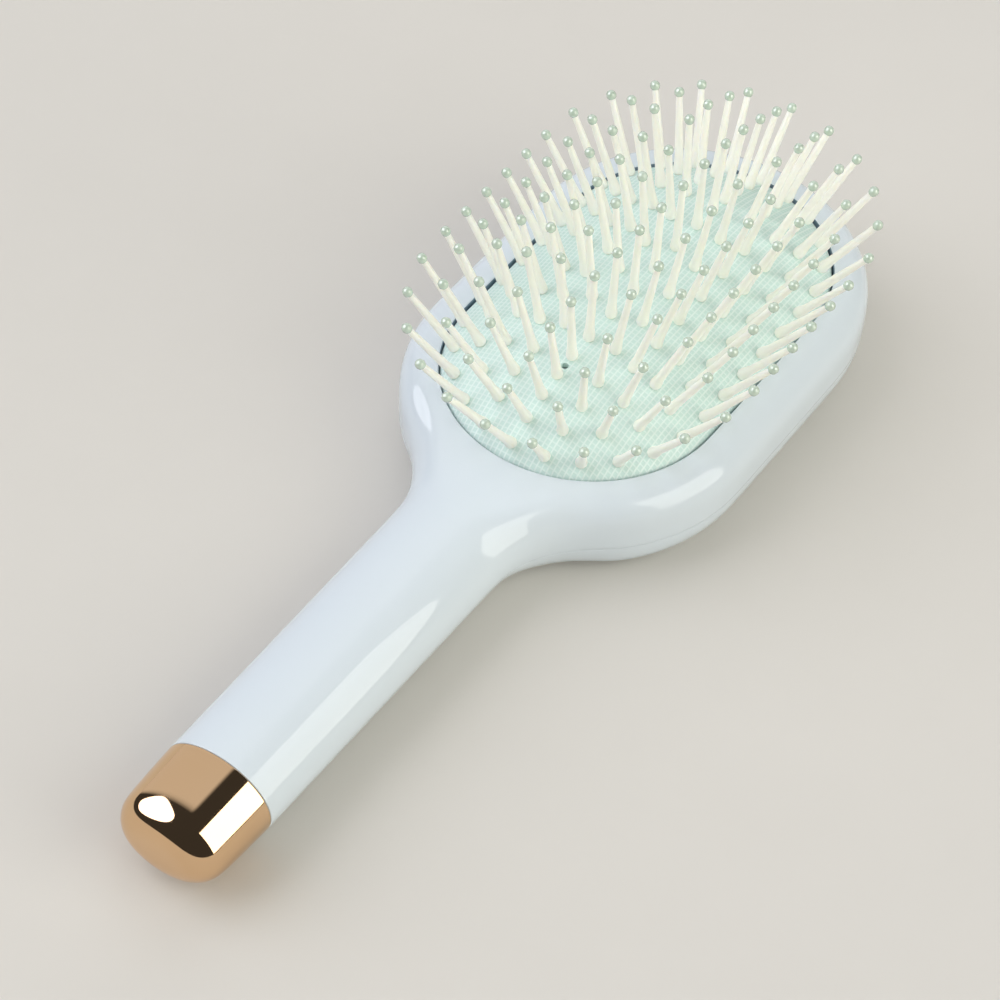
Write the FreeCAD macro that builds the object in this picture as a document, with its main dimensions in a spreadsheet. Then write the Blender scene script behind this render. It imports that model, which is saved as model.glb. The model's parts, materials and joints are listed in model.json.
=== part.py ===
"""Air-cushion paddle hair brush, lying on its back with the bristle pins up, in millimetres.

X runs across the brush, Y from the end cap to the head, Z up. The origin is under the middle of the
whole length, on the plane of the flat back. Two hollow shells meet at a seam round the widest line. They
clamp a rubber cushion between the lip of the front shell and a wall on the back shell. Pins stand on
the cushion in concentric stadium rings and fan out over its dome, with a bead on the end of each.
"""
import FreeCAD, Part
import Sketcher
import math
import os

V = FreeCAD.Vector
UP = V(0, 0, 1)

SIZES = {
    # head
    "head_width": 77.2, "head_straight": 41.5, "head_depth": 22.0,
    "rim_roll": 6.4, "back_roll": 9.0, "wall": 2.2,
    "side_wall": 5.6, "lip_reach": 2.5, "rim_lip": 4.0,
    # shells
    "seam_height": 10.0, "seam_gap": 0.1, "clamp_wall": 1.5, "clamp_clear": 0.15,
    # handle
    "handle_height": 12.0, "neck_width": 25.8, "neck_depth": 21.0, "neck_fillet": 18.0,
    "butt_width": 24.6, "butt_depth": 19.9, "handle_length": 75.9, "butt_wall": 4.0,
    # end cap
    "cap_length": 19.0, "cap_wall": 1.6, "cap_clear": 0.1, "cap_corner": 5.0, "cap_inset": 0.9,
    "spigot_length": 9.0,
    # cushion
    "dome_rise": 9.9, "edge_drop": 0.5, "membrane": 1.6, "edge_clear": 0.3,
    "flange_depth": 1.4, "flange_clear": 0.2, "skirt_wall": 1.8, "vent_radius": 0.75, "vent_reach": 29.4,
    # pins
    "ring_inset": 3.3, "inner_ring_radius": 6.12,
    "pin_length": 17.4, "pin_end_radius": 0.58, "shaft_radius": 0.78, "foot_radius": 1.2,
    "foot_height": 1.9, "seat_play": 0.2,
    # bead tips
    "bead_radius": 1.06, "bead_length": 2.15,
    # cutting tools
    "overrun": 4.0,
}
RING_COUNTS = (34, 28, 22, 18, 12)
ROW_COUNT = 6
PIN_SIDES = 5

doc = FreeCAD.newDocument("cushion_brush")
sheet = doc.addObject("Spreadsheet::Sheet", "sizes")
for line, (alias, value) in enumerate(SIZES.items(), start=1):
    sheet.set(f"A{line}", alias)
    sheet.set(f"B{line}", str(value))
    sheet.setAlias(f"B{line}", alias)
doc.recompute()


def size(alias):
    """A driving dimension, read back from the sheet."""
    return float(sheet.get(alias))


# Places that several pieces share.
head_radius = size("head_width") / 2
half_straight = size("head_straight") / 2
seat_radius = head_radius - size("side_wall")
opening_radius = seat_radius - size("lip_reach")
lip_under = size("head_depth") - size("rim_lip")
flange_under = lip_under - size("flange_depth")
edge_radius = opening_radius - size("edge_clear")
edge_height = size("head_depth") - size("edge_drop")
dome_radius = (edge_radius ** 2 + size("dome_rise") ** 2) / (2 * size("dome_rise"))
dome_middle = edge_height + size("dome_rise") - dome_radius

# The neck's flare is an arc tangent to the handle's side and to the round end of the head.
neck_side = size("neck_width") / 2
flare_x = neck_side + size("neck_fillet")
flare_reach = math.sqrt((head_radius + size("neck_fillet")) ** 2 - flare_x ** 2)
full_length = (head_radius + 2 * half_straight + flare_reach
               + size("handle_length") + size("cap_length"))
head_middle = full_length / 2 - head_radius - half_straight
near_middle = head_middle - half_straight
neck_start = near_middle - flare_reach
cap_joint = neck_start - size("handle_length")
cap_end = cap_joint - size("cap_length")


def origin_plane(body, role):
    """One of a body's own origin planes."""
    return next(f for f in body.Origin.OriginFeatures if f.Role == role)


def new_body(label):
    body = doc.addObject("PartDesign::Body", label)
    body.Label = label
    return body


def stadium_sketch(body, name, radius, height):
    """A stadium about the head's middle, with its radius and height given as expressions."""
    sketch = body.newObject("Sketcher::SketchObject", name)
    sketch.AttachmentSupport = [(origin_plane(body, "XY_Plane"), "")]
    sketch.MapMode = "FlatFace"
    sketch.AttachmentOffset = FreeCAD.Placement(V(0, head_middle, 0), FreeCAD.Rotation())
    sketch.setExpression("AttachmentOffset.Base.z", height)
    r, s = head_radius, half_straight
    sketch.addGeometry(Part.ArcOfCircle(Part.Circle(V(0, s, 0), UP, r), 0, math.pi), False)
    sketch.addGeometry(Part.LineSegment(V(-r, s, 0), V(-r, -s, 0)), False)
    sketch.addGeometry(Part.ArcOfCircle(Part.Circle(V(0, -s, 0), UP, r), math.pi, 2 * math.pi), False)
    sketch.addGeometry(Part.LineSegment(V(r, -s, 0), V(r, s, 0)), False)
    for first, second in ((0, 1), (1, 2), (2, 3), (3, 0)):
        sketch.addConstraint(Sketcher.Constraint("Tangent", first, 2, second, 1))
    sketch.addConstraint(Sketcher.Constraint("Equal", 0, 2))
    sketch.addConstraint(Sketcher.Constraint("PointOnObject", 0, 3, -2))
    sketch.addConstraint(Sketcher.Constraint("Symmetric", 0, 3, 2, 3, -1, 1))
    across = sketch.addConstraint(Sketcher.Constraint("Radius", 0, r))
    along = sketch.addConstraint(Sketcher.Constraint("DistanceY", 2, 3, 0, 3, 2 * s))
    sketch.setExpression(f"Constraints[{across}]", radius)
    sketch.setExpression(f"Constraints[{along}]", "sizes.head_straight")
    return sketch


def pad(body, sketch, length):
    """A pad straight up from a sketch, its length given as an expression."""
    feature = body.newObject("PartDesign::Pad", sketch.Name + "_pad")
    feature.Profile = sketch
    feature.setExpression("Length", length)
    doc.recompute()
    return feature


def pocket(body, sketch, length):
    """A pocket upward from a sketch, its length given as an expression."""
    feature = body.newObject("PartDesign::Pocket", sketch.Name + "_pocket")
    feature.Profile = sketch
    feature.Reversed = True
    feature.setExpression("Length", length)
    doc.recompute()
    return feature


def ellipse_loft(name, stations):
    """A ruled solid through upright ellipses: (place along Y, half width, half depth)."""
    wires = []
    for place, half_width, half_depth in stations:
        curve = Part.Ellipse(V(0, 0, 0), half_width, half_depth).toShape()
        curve.Placement = FreeCAD.Placement(V(0, place, size("handle_height")),
                                            FreeCAD.Rotation(V(1, 0, 0), 90))
        wires.append(Part.Wire(curve))
    feature = doc.addObject("Part::Feature", name)
    feature.Shape = Part.makeLoft(wires, True, True)
    return feature


def round_loop(centre, across, upward, sides):
    """Corners of a polygon round an ellipse, given as two half axes."""
    turns = [2 * math.pi * side / sides for side in range(sides)]
    return [centre + across * math.cos(turn) + upward * math.sin(turn) for turn in turns]


def flat_sided(name, loops):
    """A solid of flat faces between loops of as many corners each, from the first to the last."""
    faces = [Part.Face(Part.makePolygon(loop + loop[:1])) for loop in (loops[0], loops[-1])]
    for low, high in zip(loops, loops[1:]):
        for side in range(len(low)):
            corners = [low[side - 1], low[side], high[side], high[side - 1]]
            faces.append(Part.Face(Part.makePolygon(corners + corners[:1])))
    feature = doc.addObject("Part::Feature", name)
    feature.Shape = Part.makeSolid(Part.makeShell(faces))
    return feature


def combine(kind, name, first, second):
    """A boolean of two objects: Part::Fuse, Part::Cut or Part::Common."""
    feature = doc.addObject(kind, name)
    feature.Base = first
    feature.Tool = second
    doc.recompute()
    return feature


def dome_point(radius, thickness=0.0):
    """Height of the dome's outer face, or of a face below it, at a distance from its ridge line."""
    return dome_middle + math.sqrt((dome_radius - thickness) ** 2 - radius ** 2)


def stadium_turned(half_section):
    """Sweeps half a cross-section, drawn in XZ at X above zero, round the head's stadium."""
    far = V(0, head_middle + half_straight, 0)
    near = V(0, head_middle - half_straight, 0)
    right = half_section.translated(near).extrude(far - near)
    left = right.mirror(V(0, 0, 0), V(1, 0, 0))
    far_end = half_section.translated(far).revolve(far, UP, 180)
    near_end = half_section.translated(near).revolve(near, UP, -180)
    return right.fuse([left, far_end, near_end]).removeSplitter()


# Handle: a straight taper from the butt to the neck, and a flare that runs into the round head.
FLARE_STEPS = 4
CAVITY_STEPS = 4
ROOT_REACH_SHARE = 0.66
ROOT_WIDTH_SHARE = 0.9
ROOT_DEPTH_SHARE = 0.9
CAVITY_DEPTH_SHARE = 0.95


def handle_stations():
    """Ellipses from the butt into the head: place along Y, half width, half depth."""
    neck_deep = size("neck_depth") / 2
    stations = [(cap_joint, size("butt_width") / 2, size("butt_depth") / 2)]
    turn = math.atan2(flare_reach, flare_x)
    for step in range(FLARE_STEPS + 1):
        angle = turn * step / FLARE_STEPS
        place = neck_start + size("neck_fillet") * math.sin(angle)
        stations.append((place, flare_x - size("neck_fillet") * math.cos(angle), neck_deep))
    reach = ROOT_REACH_SHARE * head_radius
    side = ROOT_WIDTH_SHARE * math.sqrt(head_radius ** 2 - reach ** 2)
    stations.append((near_middle - reach, side, ROOT_DEPTH_SHARE * neck_deep))
    return stations


def cavity_stations():
    """The handle's hollow: a wall inside the butt's sides, and shut off from the cushion's air chamber."""
    half_width = size("butt_width") / 2 - size("wall")
    half_depth = CAVITY_DEPTH_SHARE * (flange_under - size("handle_height"))
    first = cap_joint + size("butt_wall")
    last = near_middle - seat_radius - size("wall")
    return [(first + (last - first) * step / CAVITY_STEPS, half_width, half_depth)
            for step in range(CAVITY_STEPS + 1)]


def spigot_stations():
    """The plug on the butt that carries the end cap."""
    inset = size("cap_wall") + size("cap_clear")
    half_width = size("butt_width") / 2 - inset
    half_depth = size("butt_depth") / 2 - inset
    return [(cap_joint - size("spigot_length"), half_width, half_depth),
            (cap_joint + size("butt_wall"), half_width, half_depth)]


# Outer form of the closed brush: head with a round rim and a softened back edge, handle and spigot.
BACK_FLAT_COUNT = 4


def head_section():
    """Half of the closed head's cross-section, from the middle of the back round the side to the top."""
    roll, back, top = size("rim_roll"), size("back_roll"), size("head_depth")
    points = [V(0, 0, 0)]
    for step in range(BACK_FLAT_COUNT + 1):
        angle = math.radians(90 * step / BACK_FLAT_COUNT)
        points.append(V(head_radius - back * (1 - math.sin(angle)), 0, back * (1 - math.cos(angle))))
    shoulder = V(head_radius, 0, top - roll)
    half_turn = math.radians(45)
    crest = V(head_radius - roll * (1 - math.cos(half_turn)), 0, top - roll * (1 - math.sin(half_turn)))
    rim = V(head_radius - roll, 0, top)
    points.append(shoulder)
    edges = [Part.LineSegment(a, b).toShape() for a, b in zip(points, points[1:])]
    edges.append(Part.Arc(shoulder, crest, rim).toShape())
    edges.append(Part.makePolygon([rim, V(0, 0, top), points[0]]))
    return Part.Face(Part.Wire(Part.sortEdges([e for part in edges for e in part.Edges])[0]))


head_form = doc.addObject("Part::Feature", "head_form")
head_form.Shape = stadium_turned(head_section())
handle_form = ellipse_loft("handle_form", handle_stations())
spigot_form = ellipse_loft("spigot_form", spigot_stations())
grip_form = combine("Part::Fuse", "grip_form", handle_form, spigot_form)
outer_form = combine("Part::Fuse", "outer_form", head_form, grip_form)

# Hollow: cushion seat in the head, opening through the rim, and the inside of the handle.
SEAT = "sizes.head_width / 2 - sizes.side_wall"
head_hollow = new_body("head_hollow")
seat_outline = stadium_sketch(head_hollow, "seat_outline", SEAT, "sizes.wall")
pad(head_hollow, seat_outline, "sizes.head_depth - sizes.rim_lip - sizes.wall")
opening_outline = stadium_sketch(head_hollow, "opening_outline", f"{SEAT} - sizes.lip_reach",
                                 "sizes.head_depth - sizes.rim_lip - sizes.wall")
pad(head_hollow, opening_outline, "sizes.rim_lip + sizes.wall + sizes.overrun")
handle_hollow = ellipse_loft("handle_hollow", cavity_stations())
hollow_form = combine("Part::Fuse", "hollow_form", head_hollow, handle_hollow)
housing = combine("Part::Cut", "housing", outer_form, hollow_form)


def slab(name, low, high):
    """A box round the whole brush between two heights, given as expressions."""
    box = doc.addObject("Part::Box", name)
    box.setExpression("Length", "sizes.head_width + 2 * sizes.overrun")
    box.Width = full_length + 2 * size("overrun")
    box.setExpression("Height", f"({high}) - ({low})")
    box.Placement = FreeCAD.Placement(V(0, -full_length / 2 - size("overrun"), 0), FreeCAD.Rotation())
    box.setExpression("Placement.Base.x", "-sizes.head_width / 2 - sizes.overrun")
    box.setExpression("Placement.Base.z", low)
    return box


upper_slab = slab("upper_slab", "sizes.seam_height", "sizes.head_depth + sizes.overrun")
lower_slab = slab("lower_slab", "-sizes.overrun", "sizes.seam_height - sizes.seam_gap")
front_shell = combine("Part::Common", "front_shell", housing, upper_slab)
back_tray = combine("Part::Common", "back_tray", housing, lower_slab)

# Clamp wall: stands on the back shell's floor inside the seam and presses the cushion's flange to the lip.
clamp_wall = new_body("clamp_wall")
wall_outer = stadium_sketch(clamp_wall, "wall_outer", f"{SEAT} - sizes.clamp_clear",
                            "sizes.wall - sizes.seam_gap")
pad(clamp_wall, wall_outer, "sizes.head_depth - sizes.rim_lip - sizes.flange_depth - sizes.wall")
wall_inner = stadium_sketch(clamp_wall, "wall_inner",
                            f"{SEAT} - sizes.clamp_clear - sizes.clamp_wall",
                            "sizes.wall - sizes.seam_gap")
pocket(clamp_wall, wall_inner, "sizes.head_depth")
back_shell = combine("Part::Fuse", "back_shell", back_tray, clamp_wall)

# End cap: follows the butt's ellipse, tapers slightly and turns over a rounded corner to a flat end.
CORNER_STEPS = 4
CAP_SIDES = 36


def cap_loops():
    """Ellipses of one proportion, from the flat end over the corner to the joint with the handle."""
    half_width, half_depth = size("butt_width") / 2, size("butt_depth") / 2
    inset, corner = size("cap_inset"), size("cap_corner")
    turn_start = cap_end + corner
    rounds = [(cap_joint, 0.0), (turn_start, inset)]
    for step in range(1, CORNER_STEPS + 1):
        angle = math.radians(90 * step / CORNER_STEPS)
        rounds.append((turn_start - corner * math.sin(angle), inset + corner * (1 - math.cos(angle))))
    loops = []
    for place, drawn_in in reversed(rounds):
        share = 1 - drawn_in / half_width
        middle = V(0, place, size("handle_height"))
        loops.append(round_loop(middle, V(share * half_width, 0, 0), UP * share * half_depth, CAP_SIDES))
    return loops


def socket_stations():
    half_width = size("butt_width") / 2 - size("cap_wall")
    half_depth = size("butt_depth") / 2 - size("cap_wall")
    return [(cap_joint - size("spigot_length") - size("cap_clear"), half_width, half_depth),
            (cap_joint + size("overrun"), half_width, half_depth)]


cap_form = flat_sided("cap_form", cap_loops())
cap_socket = ellipse_loft("cap_socket", socket_stations())
end_cap = combine("Part::Cut", "handle_end_cap", cap_form, cap_socket)


# Pins: flat-sided, with a swollen foot seated on the cushion and a tapered shaft that carries a bead.
def pin_loops(sections):
    """Level polygons along a pin's own axis: (height, radius) from the foot up."""
    return [round_loop(UP * height, V(radius, 0, 0), V(0, radius, 0), PIN_SIDES)
            for height, radius in sections]


BEAD_WAIST_SHARE = 0.45
BEAD_FOOT_SHARE = 0.8
BEAD_TOP_SHARE = 0.5
pin_form = flat_sided("pin_form", pin_loops((
    (size("seat_play"), size("foot_radius")),
    (size("seat_play") + size("foot_height"), size("shaft_radius")),
    (size("pin_length"), size("pin_end_radius")),
)))
bead_form = flat_sided("bead_form", pin_loops((
    (size("pin_length"), BEAD_FOOT_SHARE * size("bead_radius")),
    (size("pin_length") + BEAD_WAIST_SHARE * size("bead_length"), size("bead_radius")),
    (size("pin_length") + size("bead_length"), BEAD_TOP_SHARE * size("bead_radius")),
)))


def ring_radius(ring):
    """Radius of a ring of pins about the ends of the ridge line, the outer ring first."""
    outer = opening_radius - size("ring_inset")
    pitch = (outer - size("inner_ring_radius")) / (len(RING_COUNTS) - 1)
    return outer - ring * pitch


def stadium_place(radius, travel):
    """Plan place, outward direction and side at a distance along a ring from its near end."""
    quarter = math.pi * radius / 2
    straight = 2 * half_straight
    if travel < quarter:
        angle = -math.pi / 2 + travel / radius
        middle, side = near_middle, "ends"
    elif travel < quarter + straight:
        return V(radius, near_middle + travel - quarter, 0), V(1, 0, 0), "right"
    elif travel < 3 * quarter + straight:
        angle = (travel - quarter - straight) / radius
        middle, side = near_middle + straight, "ends"
    elif travel < 3 * quarter + 2 * straight:
        back = travel - 3 * quarter - straight
        return V(-radius, near_middle + straight - back, 0), V(-1, 0, 0), "left"
    else:
        angle = math.pi + (travel - 3 * quarter - 2 * straight) / radius
        middle, side = near_middle, "ends"
    out = V(math.cos(angle), math.sin(angle), 0)
    return V(0, middle, 0) + out * radius, out, side


FAN_SHARE = 1.1


def pin_placement(place, out, radius):
    """Stands a pin on the dome's outer face, leaning out a little further than square to it."""
    lean = FAN_SHARE * math.asin(radius / dome_radius)
    normal = out * math.sin(lean) + UP * math.cos(lean)
    return FreeCAD.Placement(place + UP * dome_point(radius), FreeCAD.Rotation(UP, normal))


pin_groups = {}
for ring, count in enumerate(RING_COUNTS):
    radius = ring_radius(ring)
    path = 2 * math.pi * radius + 4 * half_straight
    for number in range(count):
        place, out, side = stadium_place(radius, number * path / count)
        pin_groups.setdefault(f"ring_{ring + 1}_{side}", []).append(pin_placement(place, out, radius))
row_step = size("head_straight") / (ROW_COUNT - 1)
row_start = head_middle - size("head_straight") / 2
pin_groups["centre_row"] = [
    pin_placement(V(0, row_start + number * row_step, 0), V(1, 0, 0), 0) for number in range(ROW_COUNT)]


def placed_copies(form, placements):
    """The same shape once at each placement."""
    copies = []
    for placement in placements:
        copy = form.Shape.copy()
        copy.Placement = placement.multiply(copy.Placement)
        copies.append(copy)
    return copies


def group_node(label, form, placements):
    """Identical separate pieces that move together, as one object."""
    feature = doc.addObject("Part::Feature", label)
    feature.Label = label
    feature.Shape = Part.makeCompound(placed_copies(form, placements))
    feature.Placement = FreeCAD.Placement()
    return feature


# Cushion: a domed rubber skin with a skirt through the opening, a flange under the lip and one air hole.
OUTER_FLAT_COUNT = 5
INNER_FLAT_COUNT = 1


def dome_line(reach, flats, thickness):
    """Points on the dome from its ridge to a reach, in equal steps across."""
    return [V(reach * step / flats, 0, dome_point(reach * step / flats, thickness))
            for step in range(flats + 1)]


def cushion_section():
    """Half of the cushion's cross-section, from the crown to the flange and back under the skin."""
    skirt = edge_radius - size("skirt_wall")
    flange = seat_radius - size("flange_clear")
    points = dome_line(edge_radius, OUTER_FLAT_COUNT, 0)
    points += [V(edge_radius, 0, lip_under), V(flange, 0, lip_under),
               V(flange, 0, flange_under), V(skirt, 0, flange_under)]
    points += reversed(dome_line(skirt, INNER_FLAT_COUNT, size("membrane")))
    return Part.Face(Part.makePolygon(points + points[:1]))


def vent_tool():
    """The small air hole through the skin, on the middle line near the handle."""
    place = V(0, head_middle - size("vent_reach"), 0)
    skin = dome_point(size("vent_reach") - half_straight)
    return Part.makeCylinder(size("vent_radius"), 2 * size("overrun"), place + UP * (skin - size("overrun")))


cushion = doc.addObject("Part::Feature", "air_cushion")
cushion.Label = "air_cushion"
cushion.Shape = stadium_turned(cushion_section()).cut(vent_tool())
cushion.Placement = FreeCAD.Placement()

nodes = [front_shell, back_shell, end_cap, cushion]
for group, placements in pin_groups.items():
    nodes.append(group_node(f"pins_{group}", pin_form, placements))
    nodes.append(group_node(f"tips_{group}", bead_form, placements))
doc.recompute()

for item in doc.Objects:
    if "Invalid" in item.State or "Error" in item.State:
        raise RuntimeError(f"{item.Label} did not build: {item.State}")
for node in nodes:
    if node.Shape.isNull() or not node.Shape.isValid():
        raise RuntimeError(f"{node.Label} has no valid shape")

os.makedirs("parts", exist_ok=True)
for node in nodes:
    node.Shape.exportStep(f"parts/{node.Label}.step")
    print(node.Label, len(node.Shape.Solids), "solids,", round(node.Shape.Volume), "cubic mm")
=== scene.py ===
# %% [markdown]
# # A cushion hair brush, dressed for its portrait
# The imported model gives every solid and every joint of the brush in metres. This lesson puts a smooth,
# finished piece over each of them: moulded shells, a rubber cushion, round pins, beads and a plated cap.

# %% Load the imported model
import json
import math

import bmesh
import bpy
from mathutils import Matrix, Vector


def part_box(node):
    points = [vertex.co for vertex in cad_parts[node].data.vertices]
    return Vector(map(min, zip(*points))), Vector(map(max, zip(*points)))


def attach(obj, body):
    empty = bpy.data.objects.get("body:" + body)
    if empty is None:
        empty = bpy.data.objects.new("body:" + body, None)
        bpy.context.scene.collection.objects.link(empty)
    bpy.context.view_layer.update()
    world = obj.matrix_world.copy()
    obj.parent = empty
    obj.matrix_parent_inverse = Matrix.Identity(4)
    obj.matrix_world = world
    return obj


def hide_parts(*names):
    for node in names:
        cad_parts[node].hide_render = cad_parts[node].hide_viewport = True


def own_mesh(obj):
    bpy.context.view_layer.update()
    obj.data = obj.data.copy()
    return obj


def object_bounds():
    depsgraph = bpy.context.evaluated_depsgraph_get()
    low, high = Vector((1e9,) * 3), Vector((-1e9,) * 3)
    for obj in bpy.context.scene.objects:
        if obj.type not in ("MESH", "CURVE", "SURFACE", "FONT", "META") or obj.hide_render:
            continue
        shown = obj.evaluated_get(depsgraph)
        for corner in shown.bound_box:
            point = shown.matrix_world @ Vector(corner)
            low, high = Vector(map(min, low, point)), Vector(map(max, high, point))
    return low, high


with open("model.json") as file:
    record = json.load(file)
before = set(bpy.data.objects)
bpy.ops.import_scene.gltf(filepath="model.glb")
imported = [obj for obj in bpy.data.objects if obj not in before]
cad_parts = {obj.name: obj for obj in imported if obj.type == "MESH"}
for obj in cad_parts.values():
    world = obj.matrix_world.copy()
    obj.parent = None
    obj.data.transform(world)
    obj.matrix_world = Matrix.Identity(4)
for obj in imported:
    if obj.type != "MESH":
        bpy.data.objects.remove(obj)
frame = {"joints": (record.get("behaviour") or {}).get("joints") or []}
cad_low, cad_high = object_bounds()
MM = 0.001
UP = Vector((0, 0, 1))
scene = bpy.context.scene
print("CAD box in mm:", [round(v / MM, 1) for v in (cad_high - cad_low)])

# %% [markdown]
# ## The camera
# The viewing angle was solved by matching the outline of the solids with the picture: the camera looks
# down at about 49 degrees, a little from the right, through a long lens. A camera looks along its own -Z,
# so its three axes are worked out first and become the columns of its matrix.

# %% Camera
CAMERA_AZIMUTH = math.radians(31.67)
CAMERA_ELEVATION = math.radians(48.707)
CAMERA_ROLL = math.radians(3.938)
CAMERA_DISTANCE = 636.38 * MM
CAMERA_TARGET = Vector((2.81, -3.70, 15.0)) * MM
SENSOR_WIDTH = 36.0
FOCAL_IN_WIDTHS = 3.14406
NEAREST_SEEN = 10 * MM

toward = Vector((math.sin(CAMERA_AZIMUTH) * math.cos(CAMERA_ELEVATION),
                 -math.cos(CAMERA_AZIMUTH) * math.cos(CAMERA_ELEVATION),
                 math.sin(CAMERA_ELEVATION)))
level = Vector((math.cos(CAMERA_AZIMUTH), math.sin(CAMERA_AZIMUTH), 0))
right = math.cos(CAMERA_ROLL) * level + math.sin(CAMERA_ROLL) * toward.cross(level)
above = toward.cross(right)
lens = bpy.data.cameras.new("camera")
lens.sensor_width = SENSOR_WIDTH
lens.lens = SENSOR_WIDTH * FOCAL_IN_WIDTHS
lens.clip_start = NEAREST_SEEN
camera = bpy.data.objects.new("camera", lens)
scene.collection.objects.link(camera)
camera.matrix_world = (Matrix.Translation(CAMERA_TARGET + toward * CAMERA_DISTANCE)
                       @ Matrix((right, above, toward)).transposed().to_4x4())
scene.camera = camera
print("camera lens", round(lens.lens, 1), "mm, distance", round(CAMERA_DISTANCE, 3), "m")

# %% [markdown]
# ## Measures from the frame
# The head is drawn round two points, the middles of its round ends, with straight sides between them.
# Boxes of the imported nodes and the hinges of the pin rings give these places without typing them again.

# %% Measures
shell_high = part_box("front_shell")[1]
cap_low, cap_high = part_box("handle_end_cap")
dome_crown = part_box("air_cushion")[1].z
hinges = {joint["name"]: Vector(joint["pos_m"]) for joint in frame["joints"] if joint["type"] == "hinge"}
head_radius = shell_high.x
far_middle = shell_high.y - head_radius
near_middle = 2 * hinges["ring_1_right_sway"].y - far_middle
cap_joint = cap_high.y
print("head radius", round(head_radius / MM, 2), "ends round y", round(near_middle / MM, 2),
      "and", round(far_middle / MM, 2))

# %% [markdown]
# ## A helper that carries a profile round the head
# Rim, tray and cushion all follow the same racetrack. A lathe would do a round brush; here the profile is
# spun half a turn at each end and pushed straight along each side, and the doubles are welded at the end.

# %% Turning a profile round the head
WELD = 0.001 * MM


def turn_round_head(bm, profile, turn_steps, side_steps):
    """Carries an open line of (radius, height) points once round the racetrack of the head."""
    first = len(bm.faces)
    line = [bm.verts.new((radius, near_middle, height)) for radius, height in profile]
    geom = line + [bm.edges.new(pair) for pair in zip(line, line[1:])]
    stride = Vector((0, (far_middle - near_middle) / side_steps, 0))
    for middle, step in ((near_middle, stride), (far_middle, -stride)):
        geom = bmesh.ops.spin(bm, geom=geom, cent=(0, middle, 0), axis=UP, angle=-math.pi,
                              steps=turn_steps)["geom_last"]
        geom = bmesh.ops.spin(bm, geom=geom, cent=(0, 0, 0), axis=UP, dvec=step, angle=0,
                              steps=side_steps)["geom_last"]
    bmesh.ops.remove_doubles(bm, verts=bm.verts, dist=WELD)
    bm.faces.ensure_lookup_table()
    return bm.faces[first:]

# %% [markdown]
# ## The moulded body
# The real body is two white shells glued along a seam, with the handle growing out of the head in one
# sweep. A cage for a subdivision surface gives that sweep: a turned wall for the head, a hole in its near
# end, rings for the handle, and a bridge between them that leaves both along their own surfaces. Smoothing
# pulls a cage in, so each ring is drawn a little larger than it should come out.

# %% Head wall
BACK_ROLL = 9.0 * MM
RIM_ROLL = 5.8 * MM
HEAD_DEPTH = 22.0 * MM
TURN_STEPS = 24
SIDE_STEPS = 6
ROLL_STEPS = 4
OUTER_MARK = 1


def cage_swell(step_angle):
    """How much larger to draw a ring whose corners are a step apart, so that it smooths to full size."""
    return 3 / (2 + math.cos(step_angle))


def quarter_roll(middle_radius, middle_height, roll, first_degrees):
    """Points of a quarter turn in the head's cross-section."""
    angles = [math.radians(first_degrees + 90 * step / ROLL_STEPS) for step in range(ROLL_STEPS + 1)]
    return [(middle_radius + roll * math.cos(a), middle_height + roll * math.sin(a)) for a in angles]


wall_radius = head_radius * cage_swell(math.pi / TURN_STEPS)
back_turn = quarter_roll(wall_radius - BACK_ROLL, BACK_ROLL, BACK_ROLL, -90)
rim_turn = quarter_roll(wall_radius - RIM_ROLL, HEAD_DEPTH - RIM_ROLL, RIM_ROLL, 0)
waist = (wall_radius, (back_turn[-1][1] + rim_turn[0][1]) / 2)
wall_profile = back_turn + [waist] + rim_turn
body = bmesh.new()
for face in turn_round_head(body, wall_profile, TURN_STEPS, SIDE_STEPS):
    face.material_index = OUTER_MARK
print("head wall", len(body.faces), "faces")

# %% [markdown]
# ## Rim, opening and tray
# The rim runs in flat, turns down over a crisp edge into the opening, and widens under the lip into the
# tray that holds the cushion. Two points close together keep an edge crisp under a subdivision surface.
# The steep faces that look inwards are marked, because they get a grey of painted shade later.

# %% Rim, opening and tray
OPENING_RADIUS = 30.5 * MM
LIP_DEPTH = 4.0 * MM
TRAY_RADIUS = 33.0 * MM
TRAY_FLOOR = 2.2 * MM
EDGE = 0.3 * MM
SHOULDER = EDGE / 3
FLOOR_MARGIN = 3.0 * MM
BACK_MARGIN = 2.4 * MM
INNER_MARK = 2
STEEP = 0.3

lip_height = HEAD_DEPTH - LIP_DEPTH
rim_profile = [
    rim_turn[-1],
    (OPENING_RADIUS + 2 * EDGE, HEAD_DEPTH),
    (OPENING_RADIUS + SHOULDER, HEAD_DEPTH - SHOULDER),
    (OPENING_RADIUS, HEAD_DEPTH - 2 * EDGE),
    (OPENING_RADIUS, lip_height + EDGE),
    (OPENING_RADIUS + EDGE, lip_height),
    (TRAY_RADIUS - EDGE, lip_height),
    (TRAY_RADIUS, lip_height - EDGE),
    (TRAY_RADIUS, TRAY_FLOOR + EDGE),
    (TRAY_RADIUS - EDGE, TRAY_FLOOR),
    (TRAY_RADIUS - FLOOR_MARGIN, TRAY_FLOOR),
]
back_profile = [(wall_radius - BACK_ROLL - BACK_MARGIN, 0), back_turn[0]]
for profile in (rim_profile, back_profile):
    turn_round_head(body, profile, TURN_STEPS, SIDE_STEPS)
bmesh.ops.holes_fill(body, edges=[e for e in body.edges if e.is_boundary], sides=0)
bmesh.ops.recalc_face_normals(body, faces=body.faces)
head_middle = Vector((0, (near_middle + far_middle) / 2))
for face in body.faces:
    outward = face.calc_center_median().xy - head_middle
    if abs(face.normal.z) < STEEP and face.normal.xy.dot(outward) < 0:
        face.material_index = INNER_MARK
print("closed head", len(body.faces), "faces, open edges", sum(e.is_boundary for e in body.edges))

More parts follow.
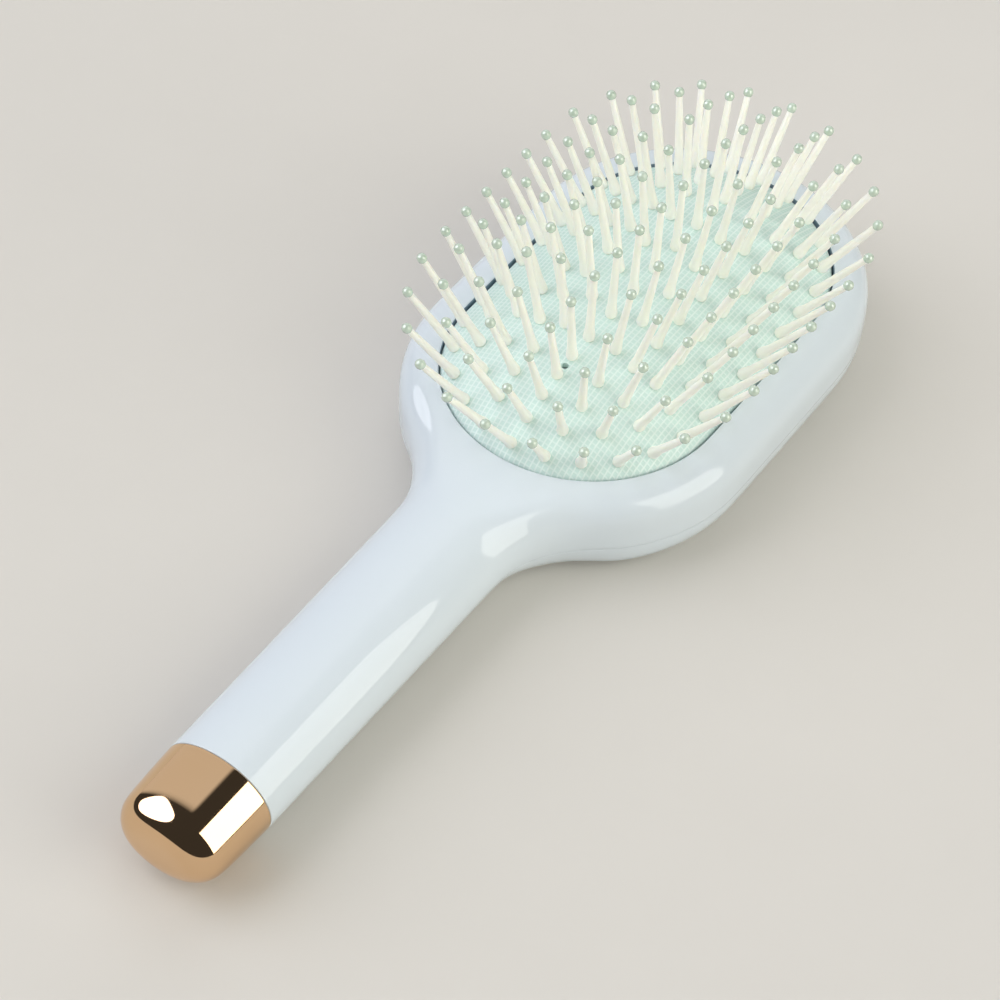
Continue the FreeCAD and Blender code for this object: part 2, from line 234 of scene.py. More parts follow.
# %% [markdown]
# ## A hole for the neck
# The neck needs a loop of edges to grow from. Deleting the outer faces in a sector at the near end leaves
# one, and its number of edges sets how many corners the rings of the handle have, so that they match.

# %% Hole for the neck
NECK_HALF_ANGLE = math.radians(37.5)
GLOSS_SLOT, SHADE_SLOT = 0, 1


def off_axis(point):
    """Angle in plan between a point and the brush's axis, seen from the near end's middle."""
    return abs(math.atan2(point.x, near_middle - point.y))


neck_faces = [f for f in body.faces if f.material_index == OUTER_MARK
              and f.calc_center_median().y < near_middle
              and off_axis(f.calc_center_median()) < NECK_HALF_ANGLE]
bmesh.ops.delete(body, geom=neck_faces, context="FACES")
for face in body.faces:
    face.material_index = SHADE_SLOT if face.material_index == INNER_MARK else GLOSS_SLOT
hole = [e for e in body.edges if e.is_boundary]
print("neck hole of", len(hole), "edges")

# %% [markdown]
# ## The handle
# The handle is an ellipse that narrows slowly from the neck to the butt, where the cap sits. One ring is
# extruded from station to station and scaled on the way; the last stations lie close together, so that the
# end stays square. The cap is drawn the same way later, so the move is a helper.

# %% Drawing a tube
def draw_tube(bm, stations, corners, middle_height):
    """Draws a ring through stations of (y, half width, half height); gives its first and last edges."""
    swell = cage_swell(2 * math.pi / corners)
    start, half_width, half_height = stations[0]
    upright = (Matrix.Translation((0, start, middle_height))
               @ Matrix.Diagonal((half_width * swell, 1, half_height * swell, 1))
               @ Matrix.Rotation(math.radians(90), 4, "X"))
    ring = bmesh.ops.create_circle(bm, segments=corners, radius=1, matrix=upright)["verts"]
    first = edges = list(dict.fromkeys(e for v in ring for e in v.link_edges))
    axis = Matrix.Translation((0, 0, -middle_height))
    for before, after in zip(stations, stations[1:]):
        grown = bmesh.ops.extrude_edge_only(bm, edges=edges)["geom"]
        verts = [g for g in grown if isinstance(g, bmesh.types.BMVert)]
        edges = [g for g in grown if isinstance(g, bmesh.types.BMEdge) and all(v in verts for v in g.verts)]
        bmesh.ops.scale(bm, vec=(after[1] / before[1], 1, after[2] / before[2]), space=axis, verts=verts)
        bmesh.ops.translate(bm, vec=(0, after[0] - before[0], 0), verts=verts)
    return first, edges

# %% Handle rings
HANDLE_HEIGHT = 12.0 * MM
NECK_HALF = (12.9 * MM, 10.5 * MM)
BUTT_HALF = (12.3 * MM, 9.95 * MM)
NECK_START = -16.31 * MM
HANDLE_SHARES = (0.0, 0.12, 0.35, 0.6, 0.85, 0.99, 0.9985, 1.0)
END_TUCK = 0.994

handle_stations = []
for share in HANDLE_SHARES:
    tuck = END_TUCK if share == 1 else 1
    half_width, half_height = ((n + (b - n) * share) * tuck for n, b in zip(NECK_HALF, BUTT_HALF))
    handle_stations.append((NECK_START + (cap_joint - NECK_START) * share, half_width, half_height))
neck_ring, butt_ring = draw_tube(body, handle_stations, len(hole), HANDLE_HEIGHT)
bmesh.ops.edgeloop_fill(body, edges=butt_ring)
print("handle rings down to y", round(handle_stations[-1][0] / MM, 2))

# %% [markdown]
# ## The neck
# Between head and handle the moulding flows without an edge. A bridge joins the two loops, a surface
# interpolation cuts it into rings that leave both sides smoothly, and a few rounds of relaxing even it out.

# %% Neck bridge
NECK_CUTS = 5
NECK_SMOOTH = 0.7
NECK_RELAX_ROUNDS = 6
NECK_BLEND_ROUNDS = 2
RELAX_SHARE = 0.5


def relax(verts, rounds):
    """Moves vertices of the body part of the way to the middle of their neighbours, a few times."""
    for _ in range(rounds):
        bmesh.ops.smooth_vert(body, verts=verts, factor=RELAX_SHARE,
                              use_axis_x=True, use_axis_y=True, use_axis_z=True)


known = set(body.verts)
bridge = bmesh.ops.bridge_loops(body, edges=hole + neck_ring)
bmesh.ops.subdivide_edgering(body, edges=bridge["edges"], interp_mode="SURFACE",
                             smooth=NECK_SMOOTH, cuts=NECK_CUTS)
inner = [v for v in body.verts if v not in known]
relax(inner, NECK_RELAX_ROUNDS)
relax(inner + list(dict.fromkeys(v for e in hole for v in e.verts)), NECK_BLEND_ROUNDS)
bmesh.ops.recalc_face_normals(body, faces=body.faces)
print("cage", len(body.faces), "faces, open edges", sum(e.is_boundary for e in body.edges))

# %% [markdown]
# ## Two shells and their seam
# The body is parted where the real shells meet. The cut has to come after the smoothing, so the modifier's
# result is taken as a mesh, sliced a hair above and below the seam, closed, and beveled along the cut, which
# draws the fine line of the joint. Every finished piece is tied to the body that carries it and to the solid
# that it stands for.

# %% Smooth body
BODY_LEVELS = 2


def new_object(name, bm):
    """Turns a bmesh into an object in the scene, and frees the bmesh."""
    mesh = bpy.data.meshes.new(name)
    bm.to_mesh(mesh)
    bm.free()
    thing = bpy.data.objects.new(name, mesh)
    scene.collection.objects.link(thing)
    return thing


cage = new_object("body_cage", body)
smooth = cage.modifiers.new("smooth", "SUBSURF")
smooth.levels = smooth.render_levels = BODY_LEVELS
body_mesh = bpy.data.meshes.new_from_object(cage.evaluated_get(bpy.context.evaluated_depsgraph_get()))
bpy.data.objects.remove(cage)
print("smooth body", len(body_mesh.polygons), "faces")

# %% Part the shells at the seam
SEAM_HEIGHT = 10.0 * MM
SEAM_GAP = 0.1 * MM
SEAM_ROUND = 0.12 * MM
SHELL_CREASE = 40


def finished_piece(name, bm, body, nodes, crease_degrees):
    """Makes an object of a bmesh, rides it on its body and lets it stand for its solids."""
    piece = new_object(name, bm)
    piece.data.shade_smooth()
    piece.data.set_sharp_from_angle(angle=math.radians(crease_degrees))
    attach(piece, body)
    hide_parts(*nodes)
    print(name, len(piece.data.polygons), "faces")
    return piece


def shell_half(side):
    """The body above (side 1) or below (side -1) the seam, closed and softened along it."""
    bm = bmesh.new()
    bm.from_mesh(body_mesh)
    height = SEAM_HEIGHT + side * SEAM_GAP / 2
    cut = bmesh.ops.bisect_plane(bm, geom=bm.verts[:] + bm.edges[:] + bm.faces[:], dist=WELD,
                                 plane_co=(0, 0, height), plane_no=(0, 0, side), clear_inner=True)
    rim_edges = [g for g in cut["geom_cut"] if isinstance(g, bmesh.types.BMEdge)]
    bmesh.ops.triangle_fill(bm, edges=rim_edges, use_beauty=True)
    bmesh.ops.recalc_face_normals(bm, faces=bm.faces)
    bmesh.ops.bevel(bm, geom=[e for e in rim_edges if e.is_valid], offset=SEAM_ROUND, segments=2,
                    affect="EDGES", profile=0.5, material=-1, clamp_overlap=True)
    return bm


front_shell = finished_piece("front_shell_moulding", shell_half(1), "housing",
                             ["front_shell"], SHELL_CREASE)
back_shell = finished_piece("back_shell_moulding", shell_half(-1), "housing",
                            ["back_shell"], SHELL_CREASE)

# %% [markdown]
# ## The plated end cap
# A thin cup, drawn and plated, is pushed over the end of the handle. Rings that follow the handle's
# ellipse and roll in over the rounded corner make its cage, and a subdivision surface polishes it.

# %% End cap
CAP_CORNER = 6.4 * MM
CAP_INSET = 0.45 * MM
CAP_SEGMENTS = 32
CAP_CORNER_STEPS = 4
CAP_LEVELS = 3
CAP_EDGE = 0.12 * MM
CAP_CREASE = 60

cap_half_height = (cap_high.z - cap_low.z) / 2
cap_line = [(cap_joint, CAP_EDGE), (cap_joint - CAP_EDGE, 0), (cap_joint - 4 * CAP_EDGE, 0)]
for step in range(CAP_CORNER_STEPS + 1):
    turn = math.radians(90 * step / CAP_CORNER_STEPS)
    cap_line.append((cap_low.y + CAP_CORNER * (1 - math.sin(turn)),
                     CAP_INSET + CAP_CORNER * (1 - math.cos(turn))))
cap_stations = [(y, cap_high.x - inset, cap_half_height - inset) for y, inset in cap_line]
cap_bm = bmesh.new()
mouth, cap_end = draw_tube(cap_bm, cap_stations, CAP_SEGMENTS, (cap_high.z + cap_low.z) / 2)
for ring in (cap_end, mouth):
    bmesh.ops.edgeloop_fill(cap_bm, edges=ring)
bmesh.ops.recalc_face_normals(cap_bm, faces=cap_bm.faces)
end_cap = finished_piece("end_cap_plated", cap_bm, "housing", ["handle_end_cap"], CAP_CREASE)
polish = end_cap.modifiers.new("polish", "SUBSURF")
polish.levels = polish.render_levels = CAP_LEVELS

# %% [markdown]
# ## The rubber cushion
# A thin rubber dome that bulges out of the opening and gives when the pins are pressed. Its line is an arc
# from the ridge to the edge, where it rolls under the rim, and the helper carries that line round the head.
# One row of points passes through the air hole, so that the hole can be cut there without odd triangles.
# The rubber sits a hair towards the handle, so its gap to the rim is tighter there.

# %% Line of the dome
DOME_RADIUS = 51.013 * MM
EDGE_RADIUS = 30.3 * MM
EDGE_HEIGHT = 21.5 * MM
EDGE_ROLL = 2.8 * MM
EDGE_STEPS = 5
SKIRT_DEPTH = 2.4 * MM
VENT_PLACE = 22.46 * MM
INNER_ROWS_MM = (0.0, 2.5, 5.5)
OUTER_ROWS_MM = (11.5, 14.0, 17.0, 20.0, 22.5, 25.0, 27.0, 28.2)


def dome_height(radius):
    """Height of the cushion's outer face at a distance from its ridge."""
    return dome_crown - DOME_RADIUS + math.sqrt(DOME_RADIUS ** 2 - radius ** 2)


vent_row = near_middle - VENT_PLACE
dome_rows = [r * MM for r in INNER_ROWS_MM] + [vent_row] + [r * MM for r in OUTER_ROWS_MM]
cushion_profile = [(radius, dome_height(radius)) for radius in dome_rows]
start_slope = math.asin((EDGE_RADIUS - EDGE_ROLL) / (DOME_RADIUS - EDGE_ROLL))
roll_height = dome_height(DOME_RADIUS * math.sin(start_slope)) - EDGE_ROLL * math.cos(start_slope)
for step in range(EDGE_STEPS + 1):
    slope = start_slope + (math.pi / 2 - start_slope) * step / EDGE_STEPS
    cushion_profile.append((EDGE_RADIUS - EDGE_ROLL * (1 - math.sin(slope)),
                            roll_height + EDGE_ROLL * math.cos(slope)))
cushion_profile.append((EDGE_RADIUS, EDGE_HEIGHT - SKIRT_DEPTH))
print("edge rolls from radius", round(DOME_RADIUS * math.sin(start_slope) / MM, 2), "down to height",
      round(roll_height / MM, 2))

# %% Skin of the dome
DOME_TURN_STEPS = 48
DOME_SIDE_STEPS = 24
SEAT_SHIFT = 0.15 * MM
cushion_bm = bmesh.new()
turn_round_head(cushion_bm, cushion_profile, DOME_TURN_STEPS, DOME_SIDE_STEPS)
bmesh.ops.translate(cushion_bm, vec=(0, -SEAT_SHIFT, 0), verts=cushion_bm.verts)
print("cushion skin", len(cushion_bm.faces), "faces")

# %% [markdown]
# ## Air hole and thickness
# A small hole near the handle lets the cushion breathe. A patch of faces is cleared and bridged to a small
# circle, which is cleaner than a boolean on a curved skin. Solidify then gives the rubber its thickness.

# %% Air hole
VENT_RADIUS = 0.75 * MM
VENT_PATCH = 2.4 * MM
vent_middle = Vector((0, VENT_PLACE, 0))
patch = [f for f in cushion_bm.faces if (f.calc_center_median().xy - vent_middle.xy).length < VENT_PATCH]
bmesh.ops.delete(cushion_bm, geom=patch, context="FACES")
brim = [e for e in cushion_bm.edges if e.is_boundary
        and (e.verts[0].co.xy - vent_middle.xy).length < 2 * VENT_PATCH]
vent = bmesh.ops.create_circle(cushion_bm, segments=len(brim), radius=VENT_RADIUS,
                               matrix=Matrix.Translation(vent_middle))["verts"]
for vert in vent:
    vert.co.z = dome_height((vert.co - Vector((0, near_middle, 0))).length)
vent_edges = list(dict.fromkeys(e for v in vent for e in v.link_edges))
bmesh.ops.bridge_loops(cushion_bm, edges=brim + vent_edges)
print("air hole of", len(vent), "sides")

# %% Thickness of the skin
MEMBRANE = 1.6 * MM
RUBBER_CREASE = 40
bmesh.ops.recalc_face_normals(cushion_bm, faces=cushion_bm.faces)
if sum(f.normal.z for f in cushion_bm.faces) < 0:
    bmesh.ops.reverse_faces(cushion_bm, faces=cushion_bm.faces)
bmesh.ops.solidify(cushion_bm, geom=cushion_bm.faces[:], thickness=MEMBRANE)
bmesh.ops.recalc_face_normals(cushion_bm, faces=cushion_bm.faces)
print("rubber with", sum(e.is_boundary for e in cushion_bm.edges), "open edges, between heights",
      [round(f(v.co.z for v in cushion_bm.verts) / MM, 2) for f in (min, max)])
cushion = finished_piece("rubber_cushion", cushion_bm, "housing", ["air_cushion"], RUBBER_CREASE)
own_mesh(cushion)

# %% [markdown]
# ## Pins and beads
# Each pin is a round nylon stem with a swollen foot, and carries a small glossy bead. One stem and one
# bead are spun with few sides, since each is repeated 120 times, and smooth shading makes them round.

# %% One pin and one bead
PIN_SIDES = 10
PIN_LINE = ((0.0, -0.35), (0.85, -0.2), (1.25, 0.35), (1.33, 0.95), (1.2, 2.0), (0.98, 3.6), (0.9, 8.0),
            (0.7, 17.6))
BEAD_LINE = ((0.0, 17.0), (0.65, 17.15), (1.03, 17.62), (1.12, 18.15), (1.0, 18.7), (0.64, 19.13),
             (0.0, 19.3))


def spun_mesh(name, line):
    """A small turned form: (radius, height) points in millimetres, spun about the upright axis."""
    bm = bmesh.new()
    verts = [bm.verts.new((radius * MM, 0, height * MM)) for radius, height in line]
    geom = verts + [bm.edges.new(pair) for pair in zip(verts, verts[1:])]
    bmesh.ops.spin(bm, geom=geom, cent=(0, 0, 0), axis=UP, angle=2 * math.pi, steps=PIN_SIDES, use_merge=True)
    bmesh.ops.remove_doubles(bm, verts=bm.verts, dist=WELD)
    bmesh.ops.holes_fill(bm, edges=[e for e in bm.edges if e.is_boundary], sides=0)
    bmesh.ops.recalc_face_normals(bm, faces=bm.faces)
    mesh = bpy.data.meshes.new(name)
    bm.to_mesh(mesh)
    bm.free()
    print(name, len(mesh.polygons), "faces")
    return mesh


pin_mesh = spun_mesh("pin_form", PIN_LINE)
bead_mesh = spun_mesh("bead_form", BEAD_LINE)

# %% [markdown]
# ## Where the pins stand
# The pins stand evenly along five racetracks inside each other, round a row on the ridge, and lean out a
# little further than square to the dome, which opens the fan. A walk along each track gives the places, and
# each place belongs to a side, because the pins along a straight side rock together and the ends don't.

# %% Stand of a pin
FAN_SHARE = 1.1


def ring_place(radius, travel):
    """Middle of the turn, angle in plan and side at a distance along a ring from its near end."""
    quarter = math.pi * radius / 2
    straight = far_middle - near_middle
    if travel < quarter:
        return near_middle, travel / radius - math.pi / 2, "ends"
    if travel < quarter + straight:
        return near_middle + travel - quarter, 0.0, "right"
    if travel < 3 * quarter + straight:
        return far_middle, (travel - quarter - straight) / radius, "ends"
    if travel < 3 * quarter + 2 * straight:
        return far_middle - (travel - 3 * quarter - straight), math.pi, "left"
    return near_middle, math.pi + (travel - 3 * quarter - 2 * straight) / radius, "ends"


def pin_stand(radius, middle, angle):
    """Matrix that stands a pin on the dome, leaning out a little further than square to it."""
    out = Vector((math.cos(angle), math.sin(angle), 0))
    lean = FAN_SHARE * math.asin(radius / DOME_RADIUS)
    stem = out * math.sin(lean) + UP * math.cos(lean)
    foot = Vector((0, middle, dome_height(radius))) + out * radius
    return Matrix.Translation(foot) @ UP.rotation_difference(stem).to_matrix().to_4x4()

# %% Places of the pins
RING_COUNTS = (34, 28, 22, 18, 12)
ROW_COUNT = 6
pin_groups = {"centre_row": [pin_stand(0, near_middle + (far_middle - near_middle) * n / (ROW_COUNT - 1), 0)
                             for n in range(ROW_COUNT)]}
for number, count in enumerate(RING_COUNTS, 1):
    radius = hinges[f"ring_{number}_right_sway"].x
    path = 2 * math.pi * radius + 2 * (far_middle - near_middle)
    for step in range(count):
        middle, angle, side = ring_place(radius, step * path / count)
        pin_groups.setdefault(f"ring_{number}_{side}", []).append(pin_stand(radius, middle, angle))
print(sum(map(len, pin_groups.values())), "pins in", len(pin_groups), "groups")

# %% [markdown]
# ## Planting
# Every group of pins that moves as one becomes one piece, and so do its beads. The copies are joined in a
# single mesh rather than kept as instances, so that each group can ride on its own body.

# %% Plant the pins and beads
PIN_CREASE = 75


def planted(form, stands):
    """Copies of a turned form at every stand, in one bmesh."""
    bm = bmesh.new()
    for stand in stands:
        known = len(bm.verts)
        bm.from_mesh(form)
        bm.verts.ensure_lookup_table()
        bmesh.ops.transform(bm, matrix=stand, verts=bm.verts[known:])
    return bm


pins, beads = [], []
for group, stands in pin_groups.items():
    rides = group.removesuffix("_ends")
    pins.append(finished_piece(f"stems_{group}", planted(pin_mesh, stands), rides,
                               [f"pins_{group}"], PIN_CREASE))
    beads.append(finished_piece(f"beads_{group}", planted(bead_mesh, stands), rides,
                                [f"tips_{group}"], PIN_CREASE))

# %% [markdown]
# ## Finishes
# Every finish starts from the Principled shader. Numbers that are the same all over are set on its own
# sockets; patterns come from nodes that read the piece's Object coordinates, in metres, so they stay
# put when the piece moves. Two small classes keep the wiring short, and the sky uses the first one too.

# %% Wiring of nodes
class Wiring:
    """Adds nodes to a tree. An input is a number, a colour or another node's output."""

    def __init__(self, tree):
        self.tree = tree

    def add(self, kind, inputs, **settings):
        """A new node with its settings and inputs."""
        node = self.tree.nodes.new(kind)
        for key, value in settings.items():
            setattr(node, key, value)
        for socket, value in inputs.items():
            self.feed(node.inputs[socket], value)
        return node

    def feed(self, socket, value):
        """Links an output to a socket, or sets a constant on it."""
        if isinstance(value, bpy.types.NodeSocket):
            self.tree.links.new(value, socket)
        else:
            socket.default_value = value

    def reckon(self, operation, *values):
        """Result of a Math node."""
        return self.add("ShaderNodeMath", dict(enumerate(values)), operation=operation).outputs[0]

    def spread(self, value, low, high):
        """A value from 0 to 1 spread evenly from low to high."""
        return self.add("ShaderNodeMapRange", {"Value": value, "To Min": low, "To Max": high}).outputs[0]

    def step(self, value, edges, low, high):
        """A soft step from low to high while a value passes between two edges."""
        return self.add("ShaderNodeMapRange", {"Value": value, "From Min": edges[0], "From Max": edges[1],
                                               "To Min": low, "To Max": high},
                        interpolation_type="SMOOTHSTEP").outputs[0]

# %% A finish and its patterns
class Finish(Wiring):
    """A Principled material with its constants set. A pattern worn later takes the place of a constant."""

    def __init__(self, name, roughness, metallic=0.0, coat=0.0, coat_roughness=0.03, ior=1.5):
        self.material = bpy.data.materials.new(name)
        self.material.use_nodes = True
        super().__init__(self.material.node_tree)
        for socket, value in (("Roughness", roughness), ("Metallic", metallic), ("Coat Weight", coat),
                              ("Coat Roughness", coat_roughness), ("IOR", ior)):
            self.wear(socket, value)
        self.place = self.add("ShaderNodeTexCoord", {}).outputs["Object"]

    def wear(self, socket, value):
        """Feeds a pattern or a constant to the shader."""
        self.feed(self.tree.nodes["Principled BSDF"].inputs[socket], value)

    def noise(self, scale, detail, place=None):
        """Cloudy noise at the piece's own places, or at others."""
        return self.add("ShaderNodeTexNoise", {"Vector": place or self.place, "Scale": scale,
                                               "Detail": detail}).outputs["Fac"]

    def blend(self, share, first, second):
        """A colour between two; the Mix node numbers its colour inputs 6 and 7 and their result 2."""
        return self.add("ShaderNodeMix", {"Factor": share, 6: first, 7: second},
                        data_type="RGBA").outputs[2]

    def wear_bump(self, height, strength, distance):
        """Lifts the surface where a pattern is high."""
        self.wear("Normal", self.add("ShaderNodeBump", {"Height": height, "Strength": strength,
                                                        "Distance": distance}).outputs[0])


def dress(pieces, finish):
    """Gives pieces a finish in their next free slot."""
    for piece in pieces:
        piece.data.materials.append(finish.material)
    print(finish.material.name, "on", len(pieces), "pieces")

# %% [markdown]
# ## Glossy white moulding
# Injection-moulded plastic is never one flat white: it has a cool tint with slow cloudy changes, a gloss
# that varies with the polish of the mould, and a faint waviness that bends reflections.

# %% Shell finish
COOL_WHITE = (0.70, 0.775, 0.84, 1)
CLEAR_WHITE = (0.74, 0.81, 0.865, 1)
moulding = Finish("shell_gloss", roughness=0.04, ior=1.43)
cloud = moulding.noise(scale=28.0, detail=2.0)
moulding.wear("Base Color", moulding.blend(cloud, COOL_WHITE, CLEAR_WHITE))
mould_polish = moulding.noise(scale=160.0, detail=3.0)
moulding.wear("Roughness", moulding.spread(mould_polish, low=0.015, high=0.04))
moulding.wear_bump(moulding.noise(scale=90.0, detail=1.0), strength=0.05, distance=0.2 * MM)
dress([front_shell, back_shell], moulding)

# %% [markdown]
# ## Shade in the opening
# Little light gets down between the rubber and the wall of the opening. The wall is the same white plastic,
# so the matt slate grey that the marked faces wear is painted shade; it draws the dark line round the
# cushion.

# %% Opening finish of painted shade
# Painted shade: a dark slate grey stands in for the shade on the white wall of the opening.
DEEP_PAINTED_SHADE = (0.15, 0.215, 0.285, 1)
PALER_PAINTED_SHADE = (0.19, 0.26, 0.335, 1)
opening = Finish("opening_shade", roughness=0.5)
cloud = opening.noise(scale=120.0, detail=2.0)
opening.wear("Base Color", opening.blend(cloud, DEEP_PAINTED_SHADE, PALER_PAINTED_SHADE))
opening.wear("Roughness", opening.spread(cloud, low=0.4, high=0.6))
dress([front_shell, back_shell], opening)

# %% [markdown]
# ## Champagne plating
# A polished plated cap is almost all reflection, so the base colour is the tint of the metal. Real plating
# over a moulded cup keeps a little softness and a few hair-fine rubs, drawn here by stretched noise.

# %% Cap finish
WARM_METAL = (0.73, 0.48, 0.27, 1)
PALE_METAL = (0.78, 0.535, 0.325, 1)
RUB_STRETCH = (60.0, 900.0, 60.0)
plating = Finish("champagne_plating", roughness=0.05, metallic=1.0)
stretched = plating.add("ShaderNodeMapping", {"Vector": plating.place, "Scale": RUB_STRETCH}).outputs[0]
rubs = plating.noise(scale=3.0, detail=4.0, place=stretched)
plating.wear("Roughness", plating.spread(rubs, low=0.03, high=0.075))
bloom = plating.noise(scale=60.0, detail=2.0)
plating.wear("Base Color", plating.blend(bloom, WARM_METAL, PALE_METAL))
dress([end_cap], plating)

# %% [markdown]
# ## Mint rubber with an embossed grid
# A net of fine raised lines covers the rubber, about 1.2 mm apart both ways as measured along the dome. So
# each coordinate is first turned into a length along the dome by an arcsine. A ping-pong of that length is
# a row of ridges; the higher of the two rows is the net, which lightens the colour and lifts the bump.

# %% Net of lines
NET_PITCH = 1.16 * MM
NET_SHARE = (1.0, 0.6)
NET_LINE = (0.02, 0.24)
HALF_CELL = 0.5
rubber = Finish("mint_rubber", roughness=0.5, ior=1.45)
axes = rubber.add("ShaderNodeSeparateXYZ", {"Vector": rubber.place}).outputs
spine = rubber.add("ShaderNodeClamp", {"Value": axes["Y"], "Min": near_middle, "Max": far_middle}).outputs[0]
past_spine = rubber.reckon("SUBTRACT", axes["Y"], spine)
ridges = []
for offset, start, share in ((axes["X"], 0.0, NET_SHARE[0]), (past_spine, spine, NET_SHARE[1])):
    bend = rubber.reckon("ARCSINE", rubber.reckon("DIVIDE", offset, DOME_RADIUS))
    along = rubber.reckon("MULTIPLY_ADD", bend, DOME_RADIUS, start)
    fold = rubber.reckon("PINGPONG", rubber.reckon("DIVIDE", along, NET_PITCH), HALF_CELL)
    ridges.append(rubber.step(fold, NET_LINE, low=share, high=0.0))
net = rubber.reckon("MAXIMUM", *ridges)
print("net of", len(ridges), "rows of ridges,", round(NET_PITCH / MM, 2), "mm apart")

# %% [markdown]
# ## Colour and relief of the rubber
# The mint is a little cloudy, the lines are paler and worn unevenly, and they shine more than the hollows
# between them. One map of the lines drives colour, roughness and bump, so the three always agree.

# %% Cushion finish
DEEP_MINT = (0.585, 0.78, 0.73, 1)
MINT = (0.655, 0.83, 0.79, 1)
PALE_MINT = (0.84, 0.955, 0.92, 1)
hollows = rubber.blend(rubber.noise(scale=55.0, detail=3.0), DEEP_MINT, MINT)
worn = rubber.spread(rubber.noise(scale=700.0, detail=2.0), low=0.45, high=1.0)
lines = rubber.reckon("MULTIPLY", net, worn)
rubber.wear("Base Color", rubber.blend(lines, hollows, PALE_MINT))
rubber.wear("Roughness", rubber.spread(lines, low=0.58, high=0.42))
rubber.wear_bump(lines, strength=0.6, distance=0.1 * MM)
dress([cushion], rubber)

# %% [markdown]
# ## Cream nylon
# Nylon lets a little light in, which softens its shading, so the pins get some subsurface. Light also
# wanders along inside them and comes out again in the shade; a faint glow of painted light stands for that
# and brightens the pins.

# %% Pin finish
CREAM = (0.95, 0.935, 0.85, 1)
PALE_CREAM = (0.955, 0.955, 0.885, 1)
nylon = Finish("cream_nylon", roughness=0.34, ior=1.53)
cloud = nylon.noise(scale=120.0, detail=2.0)
nylon.wear("Base Color", nylon.blend(cloud, CREAM, PALE_CREAM))
nylon.wear("Roughness", nylon.spread(cloud, low=0.28, high=0.42))
nylon.wear("Subsurface Weight", 0.4)
nylon.wear("Subsurface Radius", (1.0, 0.85, 0.6))
nylon.wear("Subsurface Scale", 0.8 * MM)
# Painted light: a faint glow that brightens the pins, although they are no lamp.
nylon.wear("Emission Color", (1.0, 0.98, 0.86, 1))
nylon.wear("Emission Strength", 0.05)
dress(pins, nylon)

# %% [markdown]
# ## Pearl beads
# The beads are dipped and glossy, a shade darker than the cushion. A clear coat over a denser, softly
# clouded body gives the small sharp glint of a lacquered drop.

# %% Bead finish
SAGE = (0.53, 0.65, 0.53, 1)
PALE_SAGE = (0.61, 0.72, 0.61, 1)
pearl = Finish("pearl_bead", roughness=0.12, coat=1.0, coat_roughness=0.04, ior=1.85)
cloud = pearl.noise(scale=420.0, detail=2.0)
pearl.wear("Base Color", pearl.blend(cloud, SAGE, PALE_SAGE))
pearl.wear("Roughness", pearl.spread(cloud, low=0.08, high=0.18))
dress(beads, pearl)

# %% [markdown]
# ## The floor
# The brush lies on plain pale paper. It is a flat sheet just under the part.
# Its gloss is off, because a shiny floor would show the lamps from low angles.

# %% Floor
FLOOR_SIZE = 6.0
FLOOR_DROP = 0.05 * MM
WARM_PAPER = (0.69, 0.665, 0.625, 1)
PALE_PAPER = (0.71, 0.685, 0.645, 1)
floor_bm = bmesh.new()
bmesh.ops.create_grid(floor_bm, x_segments=1, y_segments=1, size=FLOOR_SIZE)
floor = new_object("floor", floor_bm)
floor.location.z = cad_low.z - FLOOR_DROP
paper = Finish("pale_floor", roughness=0.85)
paper.wear("Specular IOR Level", 0.0)
grain = paper.noise(scale=40.0, detail=4.0)
paper.wear("Base Color", paper.blend(grain, WARM_PAPER, PALE_PAPER))
dress([floor], paper)

# %% [markdown]
# ## Lamps
# A cool round soft box stands on the left, a warm tall one on the right, and two fills stand in front and
# overhead. A near lamp would light the floor in a patch, so every lamp for matt surfaces stands six times
# further off and is six times larger. The two main ones have a twin that stays near and is seen only in
# gloss, where it draws the bright shapes on the moulding and the cap. White plastic stays below white.

# %% One soft box
STAND_BACK = 6.0
DISK_SHARE = math.pi / 4


def soft_box(name, shape, centre, aim, size, tint, glow, mirrored=False):
    """A lamp facing along aim, seen only in gloss or lighting only what is matt; a glow of 1 is white."""
    scale = 1 if mirrored else STAND_BACK
    lamp = bpy.data.lights.new(name, "AREA")
    lamp.shape = shape
    lamp.size, lamp.size_y = (side * scale for side in size)
    lamp.energy = glow * math.pi * lamp.size * lamp.size_y * (DISK_SHARE if shape == "DISK" else 1)
    lamp.color = tint
    box = bpy.data.objects.new(name, lamp)
    scene.collection.objects.link(box)
    box.visible_diffuse = not mirrored
    box.visible_glossy = mirrored
    box.location = Vector(centre) * scale
    box.rotation_mode = "QUATERNION"
    box.rotation_quaternion = (-Vector(aim)).to_track_quat("Z", "Y")
    print(name, "gives", round(lamp.energy, 2), "W")

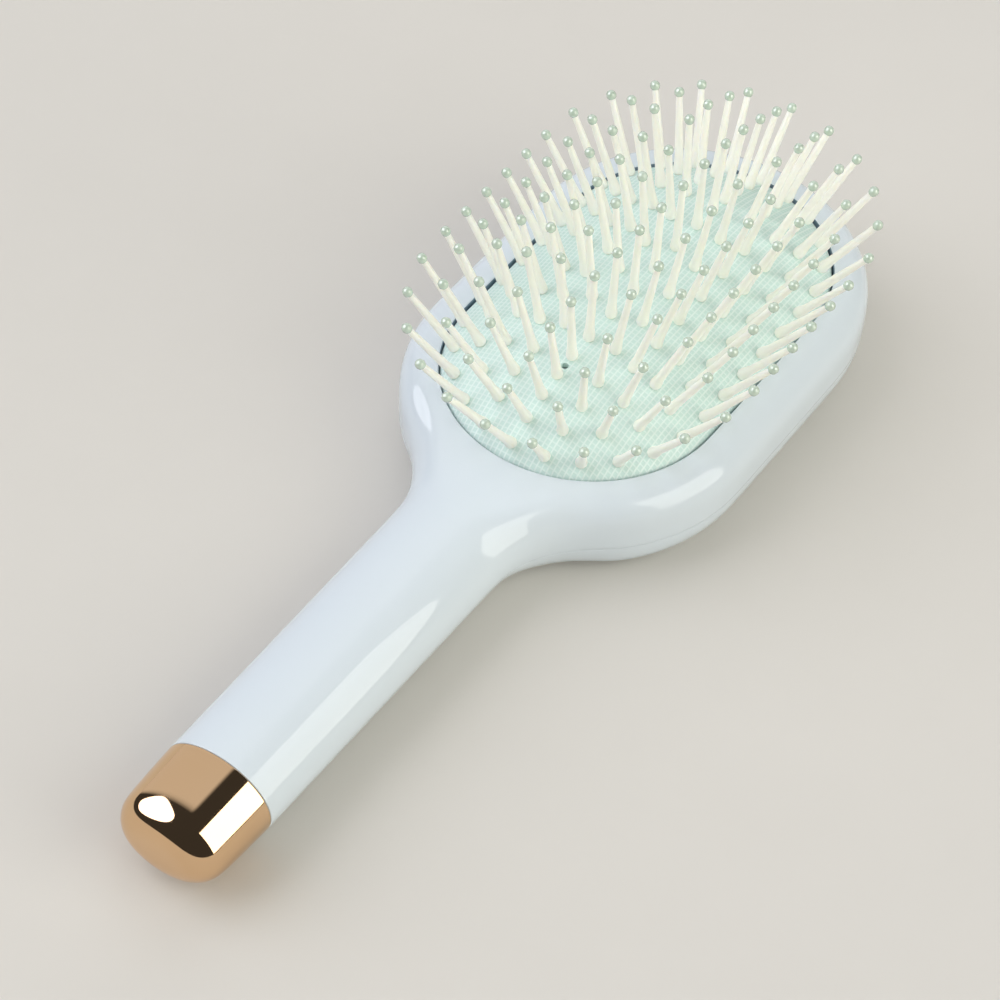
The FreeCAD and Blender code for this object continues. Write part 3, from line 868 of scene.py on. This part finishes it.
# %% Lamps
COOL = (0.935, 0.945, 1.0)
WARM = (1.0, 0.99, 0.90)
PLAIN = (1.0, 1.0, 1.0)
LEFT_BOX = ("DISK", (-0.6, -0.35, 0.62), (0.67, 0.28, -0.69), (1.1, 1.1), COOL)
RIGHT_BOX = ("RECTANGLE", (0.57, 0.10, 0.32), (-0.89, 0, -0.46), (0.50, 0.635), WARM)
OVERHEAD = ("RECTANGLE", (0.0, 0.1, 1.1), (0, 0, -1), (1.6, 1.6), PLAIN)
FRONT_BOX = ("DISK", (0.6, -0.55, 0.7), (-0.6, 0.55, -0.7), (1.1, 1.1), WARM)
scene.view_settings.view_transform = "Standard"
soft_box("round_box_left", *LEFT_BOX, glow=2.11)
soft_box("round_box_left_mirrored", *LEFT_BOX, glow=4.0, mirrored=True)
soft_box("tall_box_right", *RIGHT_BOX, glow=2.3)
soft_box("tall_box_right_mirrored", *RIGHT_BOX, glow=3.6, mirrored=True)
soft_box("fill_overhead", *OVERHEAD, glow=0.36)
soft_box("fill_front", *FRONT_BOX, glow=1.08)

# %% [markdown]
# ## The sky
# Polished metal shows what stands round it, so the room matters more than the lamps there. The sky is dark,
# with one pale wall beyond the far end that stops a little right of the middle. The plating then shows a
# tan half beside a dark half, with a soft edge between them.

# %% Sky
WALL_START = (0.24, 0.34)
WALL_END = (0.02, 0.14)
WALL_GLOW = 0.73
WALL_END_GLOW = 0.04
DARK_GLOW = 0.05
sky = bpy.data.worlds.new("studio")
scene.world = sky
sky.use_nodes = True
room = Wiring(sky.node_tree)
outlook = room.add("ShaderNodeTexCoord", {}).outputs["Generated"]
heading = room.add("ShaderNodeSeparateXYZ", {"Vector": outlook}).outputs
beyond = room.step(heading["Y"], WALL_START, low=0.0, high=1.0)
leftward = room.step(heading["X"], WALL_END, low=WALL_GLOW, high=WALL_END_GLOW)
glow = room.reckon("MAXIMUM", room.reckon("MULTIPLY", beyond, leftward), DARK_GLOW)
backdrop = room.tree.nodes["Background"]
room.feed(backdrop.inputs["Strength"], glow)
room.feed(backdrop.inputs["Color"], (1, 1, 1, 1))
print("sky of", len(room.tree.nodes), "nodes, wall at", WALL_GLOW, "and dark at", DARK_GLOW)
